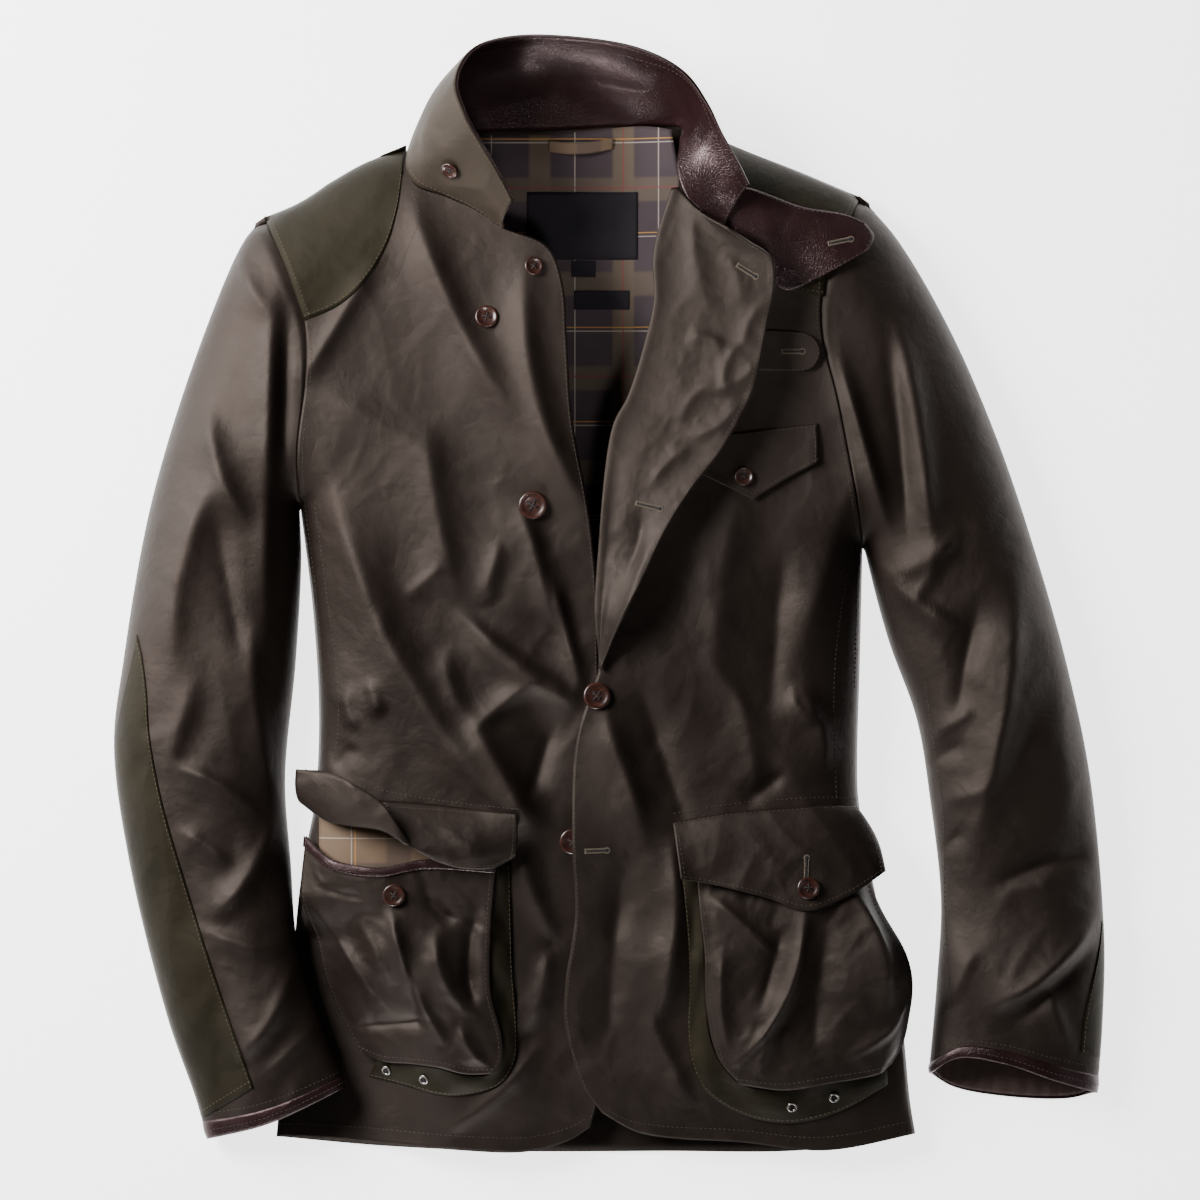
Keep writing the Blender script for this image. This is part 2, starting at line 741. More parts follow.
# %% [markdown]
# ## Fronts and back

# %% Fronts and back
u, v = grid(101, 281)
x, y = plan(
    hem_right, reverse(shoulder_right),
    joined(reverse(panel_side_right), reverse(armhole_right)), joined(edge_right, neck_right),
    u, v,
)
front_right = on_front(x, y, tuck(x, y))
cloth_piece("front_right", front_right, CLOTH, WAXED, "waxed_cotton")

u, v = grid(101, 281)
x, y = plan(
    hem_left, reverse(shoulder_left), joined(joined(edge_left, roll_line), neck_left),
    joined(side_left, reverse(armhole_left)), u, v,
)
front_left = on_front(x, y, lifted(x, y))
cloth_piece("front_left", front_left, CLOTH, WAXED, "waxed_cotton")

u, v = grid(101, 161)
seam_right = panel_side_right.length / (panel_side_right.length + armhole_right.length)
seam_left = side_left.length / (side_left.length + armhole_left.length)
v_left = np.where(v < 0.48, v / 0.48 * seam_left, mix(seam_left, 1, (v - 0.48) / 0.52))
v_back = np.where(v < 0.48, v / 0.48 * seam_right, mix(seam_right, 1, (v - 0.48) / 0.52))
x, y = plan(
    hem_back, joined(joined(reverse(shoulder_right), nape, 0.5), reverse(shoulder_left), 2 / 3),
    joined(reverse(panel_side_right), reverse(armhole_right)),
    joined(side_left, reverse(armhole_left)), ease(u), v_back, v_left,
)
back = np.stack([x, y, back_z(x, y)], axis=-1)
cloth_piece("back", back[:, ::-1], CLOTH, WAXED, "waxed_cotton")
print("fronts and back made")

# %% [markdown]
# ## Sleeves
# A sleeve is a closed tube. Its top and its flat underside share their two side lines.

# %% Sleeves
SLEEVES = {
    "right": dict(
        away=-1, shoulder=shoulder_right, armhole=armhole_right, outer=sleeve_right_outer,
        inner=reverse(sleeve_right_inner),
        cuff=[curve((-298, -402), (-251, -389), (-195, -363))] * 2,
    ),
    "left": dict(
        away=1, shoulder=shoulder_left, armhole=armhole_left,
        outer=reverse(sleeve_left_outer), inner=sleeve_left_inner,
        cuff=[
            curve((362, -368), (327, -357), (292, -345), (258, -341), (237, -353)),
            curve((362, -368), (341, -373), (290, -371), (255, -364), (237, -353)),
        ],
    ),
}
SLEEVE_END = 0.985


def sleeve_z(arm, x, y, top, lift=0.0):
    """On top rim + (height - rim) * rise, a product over the two sides. Below, a rounded edge."""
    d_outer = both(distance(x, y, arm["outer"])[0], distance(x, y, arm["shoulder"])[0])
    d_inner = distance(x, y, arm["inner"])[0]
    radius = ROUNDING if top else RIM
    rise = rise_of(d_outer, radius) * rise_of(d_inner, radius)
    level = height_at(x, y) + 8 * ramp(y, -200, -330)
    z = RIM + (level - RIM) * rise if top else RIM * (1 - rise)
    rest = np.where(x < 0, 4.9 * ramp(x, -290, -260) * ramp(y, -205, -240), 0)
    return z + rest + lift


def sleeve_half(arm, u, v, top, lift=0.0):
    cuff = arm["cuff"][0 if top else 1]
    x, y = plan(arm["armhole"], cuff, arm["outer"], arm["inner"], u, v)
    under = 1 - ramp(v, 0, 0.012)
    z = sleeve_z(arm, x, y, top, lift) - (2.4 * under if top else 0)
    shift = 0.4 * (1 - ramp(v, 0, 0.1)) - 2.0 * under
    return np.stack([x + arm["away"] * shift, y, z], axis=-1)


def tube(arm, low, high, rows, across=57):
    u, v = np.meshgrid(ease(steps(across)), np.linspace(low, high, rows))
    top = sleeve_half(arm, u, v, True)
    under = sleeve_half(arm, u, v, False)
    ring = np.concatenate([top, under[:, ::-1][:, 1:-1]], axis=1)
    return ring[:, ::-1] if arm["away"] < 0 else ring


def inwards(p, depth):
    return p - depth * normals_of(p, wrap=True)


for side, arm in SLEEVES.items():
    ring = tube(arm, 0, SLEEVE_END - 0.001, 261)
    cloth_piece("sleeve_" + side, ring, CLOTH, WAXED, "waxed_cotton", wrap=True)
    end = tube(arm, SLEEVE_END - 0.004, 1, 7)
    swell = 0.8 * np.sin(math.pi * np.clip(steps(7), 0.05, 0.95))[:, None, None]
    end = end + swell * normals_of(end, wrap=True)
    cloth_piece("cuff_binding_" + side, end, 2.4, LEATHER, "leather_trim", wrap=True)
cuff = tube(SLEEVES["left"], 0.88, 0.996, 24)
gathers = 1.1 * np.sin(np.arange(cuff.shape[1]) * 0.9) ** 2 + 2.5
cuff = inwards(cuff, gathers[None, :, None])
cloth_piece("cuff_lining_left", cuff, 1, SLEEVE_LINING, "check_lining", wrap=True)
print("sleeves made")

# %% Patches
u, v = grid(31, 31)
x, y = plan(
    curve((-255, 281), (-237, 240), (-224, 203)),
    curve((-150, 334), (-151, 325), (-153, 312)),
    curve((-255, 281), (-228, 293), (-205, 308), (-177, 323), (-150, 334)),
    curve((-224, 203), (-199, 214), (-180, 231), (-164, 258), (-156, 285), (-153, 312)), u, v,
)
patch_right = on_front(x, y, 0.9)
cloth_piece("shoulder_patch_right", patch_right, 0.8, OLIVE, "olive_cotton")
x, y = plan(
    curve((158, 221), (160, 240), (186, 296)), curve((84, 304), (78, 322), (68, 344)),
    curve((158, 221), (143, 223), (127, 229), (109, 245), (97, 268), (84, 304)),
    curve((186, 296), (141, 315), (100, 331), (68, 344)), u, v,
)
patch_left = on_front(x, y, 0.9)
cloth_piece("shoulder_patch_left", patch_left, 0.8, OLIVE, "olive_cotton")


def on_sleeve(arm, x, y, lift):
    return np.stack([x, y, sleeve_z(arm, x, y, True, lift)], axis=-1)


u, v = grid(25, 121)
x, y = plan(
    curve((-301, -386), (-282, -374), (-262, -362)), curve((-355, -12), (-352, -20), (-349, -28)),
    stretch(reverse(sleeve_right_outer), 0.022, 0.43),
    curve((-262, -362), (-284, -299), (-308, -225), (-330, -149), (-339, -100), (-341, -70),
          (-345, -42), (-349, -28)), u, v,
)
elbow_right = on_sleeve(SLEEVES["right"], x, y, 0.9)
cloth_piece("elbow_patch_right", elbow_right, 0.8, OLIVE, "olive_cotton")
u, v = grid(13, 41)
x, y = plan(
    curve((349, -337), (357, -339), (364.5, -341)), curve((365, -240), (366, -240), (367, -240)),
    curve((349, -337), (352, -310), (358, -282), (363, -258), (365, -240)),
    stretch(sleeve_left_outer, 0.038, 0.18), u, v,
)
elbow_left = on_sleeve(SLEEVES["left"], x, y, 0.9)
cloth_piece("elbow_patch_left", elbow_left, 0.8, OLIVE, "olive_cotton")
print("patches made")

# %% [markdown]
# ## Collar, lapel and tabs

# %% Collar
COLLAR = np.array([  # baseX baseY onFronts lift topX topY topZ
    (-77, 271, 1, 1.4, -70, 290, 78),
    (-98, 285, 1, 1.4, -82, 313, 88),
    (-120, 295, 1, 1.4, -95, 334, 94),
    (-141, 303, 1, 1.4, -105, 353, 95),
    (-148, 314, 1, 2.6, -111, 374, 90),
    (-146, 333, 1, 2.6, -106, 391, 82),
    (-132, 341, 0, 8, -96, 402, 75),
    (-101, 345.5, 0, 4.2, -76, 409, 68),
    (-41, 347.5, 0, 3.6, -44, 411, 64),
    (24, 350.5, 0, 4.2, 20, 402, 64),
    (53, 348, 0, 16, 54, 384, 69),
    (53, 334, 1, 3.2, 72, 360, 71),
    (51, 313, 1, 6, 83, 338, 70),
    (57, 294, 1, 9.5, 92, 322, 69),
    (70, 281, 1, 9, 98, 311, 67),
    (84, 271.5, 1, 7.5, 102, 302, 64),
], float)
base_z = COLLAR[:, 2] * front_z(COLLAR[:, 0], COLLAR[:, 1]) + COLLAR[:, 3]


def by_rows(points, t):
    """A curve through the rows, read by row number rather than by length."""
    path = curve(*points)
    k, rows = t * (len(points) - 1) * CHORD_STEPS, np.arange(len(path.points))
    return np.stack([np.interp(k, rows, path.points[:, i]) for i in range(3)], -1)


def collar(u, v, out):
    base = by_rows(np.column_stack([COLLAR[:, 0], COLLAR[:, 1], base_z]), u)
    top = by_rows(COLLAR[:, 4:7], u)
    p = mix(base, top, v[..., None])
    n = np.cross(np.gradient(p, axis=0), np.gradient(p, axis=1))
    n = n / np.maximum(np.linalg.norm(n, axis=2, keepdims=True), 1e-9)
    wave = 2.0 * crumple(u * 300, v * 60, 30, 0.2, 1.5) * np.sin(math.pi * v) ** 0.5
    bow = 5 * np.sin(math.pi * v) + wave + out
    return p + bow[..., None] * n


u, v = grid(241, 33)
outside = collar(u, v, 0.15 + 1.2)
cloth_piece("collar_outer", outside[:, ::-1], 1.2, COLLAR_CLOTH, "olive_cotton")
inside = collar(u, v, -0.15 - 1.3)
cloth_piece("collar_leather", inside, 1.3, LEATHER, "leather_trim")

# %% Lapel and tabs
LAPEL_FOLDS = [  # x1 y1 x2 y2 bend width rise
    (62, 280, 78, 200, 6, 14, 2.5),
    (84, 250, 96, 214, -4, 8, 2),
    (112, 214, 98, 186, 3, 7, 2.5),
    (58, 190, 84, 182, -3, 6, 2.5),
    (96, 186, 84, 150, 5, 8, 3),
    (110, 172, 70, 150, -5, 8, 3),
    (78, 158, 52, 130, 4, 7, 2.5),
    (96, 142, 60, 116, -4, 8, 2.5),
    (60, 110, 30, 82, 3, 7, 2.5),
    (24, 62, 12, 16, -3, 9, -4),
    (34, 44, 8, -30, 3, 8, 3.5),
    (8, -20, 2, -46, 0, 5, -2),
]
lapel_edge = curve(
    (-8, -58), (8, -17), (23, 11), (41, 49), (60, 79), (83, 109), (105, 151), (115, 197),
    (121, 231), (118, 248), (104, 257), (86, 268),
)
u, v = grid(61, 161)
across = np.maximum(0.006, (u - 0.18) / 0.82)
roll = np.clip(u / 0.18, 0, 1)
x, y = plan(
    curve((-8, -58), (-8, -57.5), (-7.5, -57)), curve((50, 297), (58, 288), (70, 278), (86, 268)),
    roll_line, lapel_edge, across, mix(0.012, 1, v),
)
narrow = ramp(v, 0, 0.12)
turn = np.sin(math.pi / 2 * roll)
behind = np.where(roll < 1, -5 * np.sin(math.pi * roll), 0) * narrow
free = ramp(across, 0.02, 0.35) * narrow
height = 2.5 + mix(2, 6.4, narrow) * turn + 2.4 * ramp(v, 0.8, 0.95) * ramp(u, 0.5, 1)
height = height + 13 * across**1.5 * narrow
own = ridges(LAPEL_FOLDS, x, y, 2) + 0.5 * crumple(x, y, 22, 1.2, 2.0) + 0.3 * crumple(x, y, 10)
lapel = on_front(x + behind, y, height + own * free + 1.5 * free)
cloth_piece("lapel_left", lapel, 2.2, WAXED, "waxed_cotton")

u, v = grid(41, 33)
x, y = plan(
    curve((88, 256), (108, 241), (131, 225), (152, 233), (175, 245), (188, 253)),
    curve((88, 300), (102, 299), (117, 294), (141, 285), (171, 278), (186, 271)),
    curve((88, 256), (86, 278), (88, 300)), curve((188, 253), (192, 262), (186, 271)), u, v,
)
throat = on_front(x, y, 3.6 + 3 * ramp(x, 130, 185))
cloth_piece("throat_tab", throat, 1.3, LEATHER, "leather_trim")
u, v = grid(31, 17)
x, y = plan(
    curve((92, 168), (118, 166), (143, 166)), curve((92, 195), (118, 196), (141, 194)),
    curve((92, 168), (91, 181), (92, 195)),
    curve((143, 166), (151, 169), (156, 180), (151, 190), (141, 194)), u, v,
)
storm = on_front(x, y, 2.2 + 1.6 * ramp(x, 120, 155))
cloth_piece("storm_tab", storm, 1.8, WAXED, "waxed_cotton")
u, v = grid(41, 25)
x, y = plan(
    joined(curve((61, 93), (84, 82), (106, 71)), curve((106, 71), (130, 86), (154, 99))),
    curve((60, 116), (106, 122), (153, 127)), curve((61, 93), (60, 104), (60, 116)),
    curve((154, 99), (154, 113), (153, 127)), u, v,
)
chest_flap = on_front(x, y, 1.6 + 1.8 * (1 - v))
cloth_piece("chest_flap_left", chest_flap, 1.4, WAXED, "waxed_cotton")
print("collar, lapel and tabs made")

# %% [markdown]
# ## Pockets
# A pocket's face stands off the front on an olive bellows, and its flap lies over the mouth.


# %% Right pocket
RIGHT_POCKET_FOLDS = [  # x1 y1 x2 y2 bend width rise
    (-216, -222, -164, -304, 4, 9, 5),
    (-206, -215, -178, -222, 0, 6, -2.5),
    (-160, -232, -126, -322, 5, 8, 6),
    (-182, -240, -162, -284, 0, 12, 4),
    (-150, -262, -140, -318, 0, 9, -5),
    (-190, -318, -132, -312, 0, 7, -4),
    (-128, -250, -104, -306, 6, 11, 5),
    (-96, -228, -100, -300, 6, 10, -5),
    (-136, -214, -108, -238, 6, 8, -3),
    (-110, -318, -90, -346, 3, 6, 3),
]
pocket_right_side = curve((-87, -352), (-79, -343), (-79, -325), (-87, -291), (-87, -250), (-83, -196))
pocket_right_bottom = curve(
    (-184, -338), (-168, -344), (-147, -345), (-127, -347), (-106, -352), (-87, -352)
)
pocket_right_mouth = curve(
    (-219, -178), (-206, -189), (-192, -196), (-170, -199), (-134, -193), (-83, -196)
)
pocket_right_left = curve(
    (-184, -338), (-198, -312), (-209, -285), (-217, -247), (-220, -210), (-219, -178)
)


def right_lift(u, v):
    sewn = ramp(u, 0, 0.22)
    gape = 6 * bump(u, 0.4, 0.25) * ramp(v, 0.75, 1)
    full = 7 * np.sin(math.pi * np.clip(u * 0.9 + 0.1, 0, 1)) * np.sin(
        math.pi * np.clip(v * 0.85 + 0.1, 0, 1)
    )
    return 3.5 + 6 * bump(v, 0.6, 0.3) * (1 - sewn) + sewn * (5.3 + gape + full)


def pocket_right(u, v, lift):
    x, y = plan(pocket_right_bottom, pocket_right_mouth, pocket_right_left, pocket_right_side, u, v)
    own = 1.35 * ridges(RIGHT_POCKET_FOLDS, x, y, 1.6) + 0.7 * crumple(x, y, 14, 0.8, 1.6)
    own = own * ramp(u, 0, 0.15)
    own = own * ramp(u, 1.02, 0.9) * ramp(v, -0.02, 0.1)
    return on_front(x, y, right_lift(u, v) + lift + own)


u, v = grid(81, 91)
face_right = pocket_right(u, v, 1.2)
cloth_piece("pocket_right", face_right, 1.2, WAXED, "waxed_cotton")
u, v = grid(81, 9)
binding = pocket_right(u, mix(0.955, 1, v), 2.6)
binding[..., 2] += 0.7 * np.sin(math.pi * v)
cloth_piece("pocket_binding_right", binding, 1.3, LEATHER, "leather_trim")
u, v = grid(31, 25)
x, y = mix(-213.0, -112.0, u), mix(-226.0, -158.0, v)
pocket_lining = on_front(x, y, 1.4)
cloth_piece("pocket_lining_right", pocket_lining, 1, POCKET_CHECK, "check_lining")


def gusset(foot, edge, edge_lift, u, v):
    """From the front at its foot up to just under the edge of the face."""
    foot, edge = np.stack(foot(u), -1), np.stack(edge(u), -1)
    p = mix(foot, edge, v[..., None])
    lift = mix(1.4, edge_lift, v**0.8) + 1.6 * np.sin(9 * u * math.pi) * np.sin(math.pi * v)
    return on_front(p[..., 0], p[..., 1], lift)


u, v = grid(121, 13)
gusset_right = gusset(
    curve((-178, -356), (-151, -362), (-127, -368), (-105, -368), (-81, -360), (-70, -344),
          (-68, -322), (-71, -269), (-73, -196)),
    curve((-172, -343), (-147, -345), (-127, -347), (-106, -352), (-88, -352), (-79, -342),
          (-79, -325), (-87, -291), (-87, -250), (-83, -197)), 7.4, u, v,
)
cloth_piece("pocket_gusset_right", gusset_right, 1.2, OLIVE, "olive_cotton")
FLAP_RIGHT = np.array([  # seamX seamY turnX turnY turnUp edgeX edgeY edgeUp
    (-210, -147, -227, -151, 14, -230, -127, 22),
    (-202, -148, -209, -163, 18, -206, -129, 27),
    (-185, -149, -190, -167, 21, -187, -137, 29),
    (-165, -150, -168, -170, 24, -166, -151, 29),
    (-145, -151, -147, -177, 25, -144, -183, 26),
    (-125, -153, -126, -178, 22, -127, -194, 24),
    (-100, -156, -101, -179, 18, -102, -200, 20),
    (-84, -158, -84, -180, 14, -84, -199, 15),
    (-68, -160, -67, -176, 9, -69, -191, 11),
], float)


def above(columns, lift):
    x, y = FLAP_RIGHT[:, columns[0]], FLAP_RIGHT[:, columns[1]]
    return np.column_stack([x, y, front_z(np.maximum(x, -212), y) + lift])


u, v = grid(81, 33)
seam = by_rows(above((0, 1), 2.0), u)
turn = by_rows(above((2, 3), FLAP_RIGHT[:, 4]), u)
edge = by_rows(above((5, 6), FLAP_RIGHT[:, 7]), u)
w = v[..., None]
pull = 2 * turn - (seam + edge) / 2
flap = (1 - w) ** 2 * seam + 2 * w * (1 - w) * pull + w**2 * edge
flap_folds = [  # x1 y1 x2 y2 bend width rise
    (-192, -126, -178, -160, 2, 7, 3),
    (-216, -128, -208, -158, 0, 8, 3),
    (-162, -152, -150, -178, 0, 7, 2.5),
    (-122, -164, -92, -190, 3, 9, 2.5),
]
own = ridges(flap_folds, flap[..., 0], flap[..., 1], 2) + crumple(flap[..., 0], flap[..., 1], 16, 0.3)
flap[..., 2] += own * v
cloth_piece("pocket_flap_right", flap[::-1], 1.2, WAXED, "waxed_cotton")
print("right pocket made")

# %% Left pocket
LEFT_POCKET_FOLDS = [  # x1 y1 x2 y2 bend width rise
    (143, -228, 96, -342, -14, 6, 6),
    (74, -220, 124, -264, 0, 8, 4),
    (126, -248, 112, -300, 0, 9, -4),
    (84, -262, 86, -330, 4, 9, 4),
    (158, -230, 150, -330, 0, 16, -5),
    (172, -222, 190, -304, -5, 10, 5),
    (210, -296, 176, -338, -4, 7, 3.5),
    (120, -322, 108, -350, 0, 8, 3),
]
pocket_left_side = curve((97, -360), (80, -339), (71, -299), (70, -262), (66, -225), (64, -190))
pocket_left_bottom = curve((97, -360), (130, -364), (161, -359), (192, -353), (206, -346))


def left_lift(u, v):
    sewn = mix(ramp(u, 1, 0.86), 1, 0.8 * bump(v, 0.45, 0.25))
    over = 9 * ramp(u, 0.55, 1) * bump(v, 0.45, 0.25)
    full = 9 * np.sin(math.pi * np.clip(u * 0.85 + 0.1, 0, 1)) * np.sin(
        math.pi * np.clip(v * 0.85 + 0.12, 0, 1)
    )
    return 1.8 + over + sewn * (7 + full - 3 * ramp(v, 0.72, 0.95))


u, v = grid(81, 91)
x, y = plan(
    pocket_left_bottom, curve((64, -190), (130, -186), (186, -186)), pocket_left_side,
    curve((206, -346), (213, -330), (212, -305), (203, -268), (193, -228), (186, -186)), u, v,
)
own = 1.35 * ridges(LEFT_POCKET_FOLDS, x, y, 1.6) + 0.7 * crumple(x, y, 14, -0.6, 1.6)
own = own * ramp(u, 1, 0.85)
own = own * ramp(u, -0.02, 0.1) * ramp(v, -0.02, 0.1) * ramp(v, 1, 0.85)
face_left = on_front(x, y, left_lift(u, v) + 1.2 + own)
cloth_piece("pocket_left", face_left, 1.2, WAXED, "waxed_cotton")
u, v = grid(121, 13)
gusset_left = gusset(
    curve((52, -192), (58, -251), (59, -293), (58, -320), (61, -345), (70, -364), (90, -379),
          (115, -388), (140, -389), (172, -380), (205, -361)),
    curve((64, -191), (66, -225), (70, -262), (71, -299), (77, -332), (86, -348), (98, -359),
          (130, -363), (161, -358), (192, -352), (202, -349)),
    mix(7.4, 4.6, ramp(u, 0.85, 1)), u, v,
)
cloth_piece("pocket_gusset_left", gusset_left, 1.2, OLIVE, "olive_cotton")
u, v = grid(101, 41)
x, y = plan(
    curve((53, -207), (88, -214), (118, -222), (146, -231), (167, -222), (191, -205)),
    curve((47, -166), (80, -160), (119, -156), (160, -154), (180, -155)),
    curve((53, -207), (50, -187), (47, -166)), curve((191, -205), (188, -180), (180, -155)), u, v,
)
rise = 0.8 + (1 - v) ** 0.6 * (11.5 + 6.5 * np.sin(math.pi * np.clip(u * 0.9 + 0.08, 0, 1)))
flap_left = on_front(x, y, rise + 1.2 + 0.7 * crumple(x, y, 20, 0.2, 1.6) * (1 - v))
cloth_piece("pocket_flap_left", flap_left, 1.2, WAXED, "waxed_cotton")
print("left pocket made")

# %% [markdown]
# ## Inside the neck

# %% Lining and labels
u, v = grid(61, 121)
x, y = plan(
    curve((-110, -92), (-10, -92), (90, -92)),
    curve((-120, 334), (-101, 341), (-41, 343.5), (24, 349), (46, 346)),
    curve((-110, -92), (-118, 120), (-120, 334)), curve((90, -92), (86, 120), (46, 346)), u, v,
)


def lining_z(x, y, lift):
    wave = 1.1 * (1 + crumple(x, y, 34, 1.3, 2.5)) + 0.7 * (1 + crumple(x, y, 15, 1.0, 2.0))
    turned_up = 16 * ramp(x, 5, 60) * ramp(y, 120, 260)
    return 3.2 + wave * ramp(y, 342, 320) + turned_up + lift


lining = np.stack([x, y, lining_z(x, y, 0)], -1)
cloth_piece("lining_back", lining, 1, CHECK, "check_lining")


def label(name, x1, x2, y1, y2):
    u, v = grid(33, 17)
    x, y = mix(float(x1), float(x2), u), mix(float(y1), float(y2), v)
    flat = 3.2 + 1.4 + 1.6 * value_noise(x / 30, y / 40)
    z = np.maximum(flat, lining_z(x, y, 1.0))
    cloth_piece(name, np.stack([x, y, z], -1), 0.6, LABEL, "label_cloth")


label("neck_label", -61, 21, 250, 300)
label("size_tab", -28, -10, 237, 249)
label("care_label", -26, 15, 213, 227)
u, v = grid(41, 7)
arch = np.sin(math.pi * u)
loop = np.stack([mix(-45.0, 3.0, u), mix(330.0, 338.5, v) - 3 * arch + 2 * u, 5.4 + 5 * arch], -1)
cloth_piece("hanger_loop", loop, 1.2, POCKET_CHECK, "check_lining")

# %% [markdown]
# ## Buttons and eyelets


# %% Buttons and eyelets
def turned(profile, n=40):
    """A profile of (radius, height) turned round Z, closed at both ends on the axis."""
    a = np.arange(n) * 2 * math.pi / n
    p = np.array(profile, float)
    x, y = p[:, :1] * np.cos(a), p[:, :1] * np.sin(a)
    return np.stack([x, y, np.repeat(p[:, 1:], n, axis=1)], axis=-1)


def placed(points, foot, out, spin=0.0):
    """Points with Z up, turned so that Z runs along out, and moved to foot."""
    out = np.asarray(out, float) / np.linalg.norm(out)
    side = np.cross((0, 1, 0), out)
    side = side / np.linalg.norm(side)
    up = np.cross(out, side)
    c, s = math.cos(spin), math.sin(spin)
    x, y = c * side + s * up, c * up - s * side
    return foot + points[..., :1] * x + points[..., 1:2] * y + points[..., 2:] * out


def solid_rings(rings, first=0):
    """Quads between rings, and a fan of triangles at each end."""
    rows, n = rings.shape[:2]
    faces = grid_faces(rows, n, True, first).tolist()
    faces.append([first + k for k in range(n)][::-1])
    faces.append([first + (rows - 1) * n + k for k in range(n)])
    return faces


def surface_at(sheet, x, y, radius):
    """The highest point of a made sheet near a place, and the way it faces there."""
    near = np.hypot(sheet[..., 0] - x, sheet[..., 1] - y)
    k = np.unravel_index(near.argmin(), near.shape)
    n = normals_of(sheet)[near < radius * 2].mean(axis=0)
    n = n if n[2] > 0 else -n
    return sheet[k], n / np.linalg.norm(n)


def button(name, diameter, foot, out, spin):
    r = diameter / 2
    body = turned([
        (0.01, 0), (r * 0.7, 0), (r * 0.97, 1.0), (r, 1.7), (r * 0.97, 2.4), (r * 0.88, 2.8),
        (r * 0.78, 2.7), (r * 0.68, 2.1), (r * 0.5, 1.8), (0.01, 1.8),
    ])
    at = placed(body, foot, out, spin)
    part("horn_" + name, at, solid_rings(body), HORN, "horn_button", "button_" + name)
    holes, faces = [], []
    for i, (sx, sy) in enumerate([(-1, -1), (1, -1), (1, 1), (-1, 1)]):
        dot = turned([(0.01, 1.75), (r * 0.13, 1.75), (r * 0.13, 1.86), (0.01, 1.86)], 12)
        dot = dot + np.array([sx, sy, 0]) * r * 0.22
        faces += solid_rings(dot, i * dot[..., 0].size)
        holes.append(placed(dot, foot, out, spin).reshape(-1, 3))
    part("button_holes_" + name, np.vstack(holes), faces, HOLE, "horn_button")
    bars, faces = [], []
    for i, angle in enumerate((math.pi / 4, -math.pi / 4)):
        bar = np.linspace(-1, 1, 9)[:, None]
        a = np.arange(8)[None, :] * 2 * math.pi / 8
        p = np.stack([
            bar * r * 0.3 + 0 * a, np.cos(a) * 0.5 + 0 * bar,
            1.95 + i * 0.5 + np.sin(a) * 0.35 - 0.6 * np.abs(bar) ** 4,
        ], axis=-1)
        c, s = math.cos(angle), math.sin(angle)
        p = np.stack([p[..., 0] * c - p[..., 1] * s, p[..., 0] * s + p[..., 1] * c, p[..., 2]], -1)
        faces += solid_rings(p, i * p[..., 0].size)
        bars.append(placed(p, foot, out, spin).reshape(-1, 3))
    part("button_thread_" + name, np.vstack(bars), faces, DARK_THREAD, "horn_button")


BUTTONS = [  # name x y diameter sheet lean spin
    ("front_top", -56, 242, 14, front_right, 0.25, 0.2),
    ("front_chest", -90, 205, 17, front_right, 0.0, 0.5),
    ("front_large", -56, 67, 21, front_right, 0.0, 0.3),
    ("front_closed", -9, -73, 20, front_left, 0.0, 0.1),
    ("front_low", -27, -180, 19, front_right, 0.0, 0.4),
    ("pocket_right", -158, -219, 16.5, face_right, 0.0, 0.2),
    ("pocket_left", 146, -214, 16.5, flap_left, 0.0, 0.6),
    ("chest_pocket", 99, 88, 14, chest_flap, 0.0, 0.3),
]
for name, x, y, diameter, sheet, lean, spin in BUTTONS:
    foot, out = surface_at(sheet, x, y, diameter / 2)
    out = out + np.array([lean, 0, 0])
    foot = np.array([x, y, foot[2]]) + out * (0.6 + lean * 4)
    button(name, diameter, foot, out, spin)
u, v = np.meshgrid([0.149, 0.15, 0.151], [0.44, 0.45, 0.46])
spot = collar(u, v, 1.9)
out = normals_of(spot[:, ::-1])[1, 1]
button("collar", 13, spot[1, 1] + out * 0.6, out, 0.3)

EYELETS = [
    ("right_1", -165, -351, gusset_right), ("right_2", -137, -357, gusset_right),
    ("left_1", 135, -377, gusset_left), ("left_2", 166, -370, gusset_left),
]
a = np.arange(12) * 2 * math.pi / 12
ring = turned(np.stack([3.0 + 0.75 * np.cos(a), 0.45 + 0.5 * np.sin(a)], axis=-1), 28)
number = np.arange(12 * 28).reshape(12, 28)
across, on = np.roll(number, -1, axis=1), np.roll(number, -1, axis=0)
ring_faces = np.stack([number, across, np.roll(across, -1, axis=0), on], -1).reshape(-1, 4).tolist()
disc = turned([(0.01, 0.0), (2.6, 0.0), (2.6, 0.25), (0.01, 0.25)], 20)
for name, x, y, sheet in EYELETS:
    foot, out = surface_at(sheet, x, y, 5)
    foot = np.array([x, y, foot[2] + 0.4])
    part("ring_" + name, placed(ring, foot, out), ring_faces, METAL, "eyelet_metal", "eyelet_" + name)
    part("eyelet_hole_" + name, placed(disc, foot, out), solid_rings(disc), HOLE, "eyelet_metal")

# %% [markdown]
# ## Stitches and buttonholes
# Each stitch is a short rounded bar that dips into the cloth at both ends.


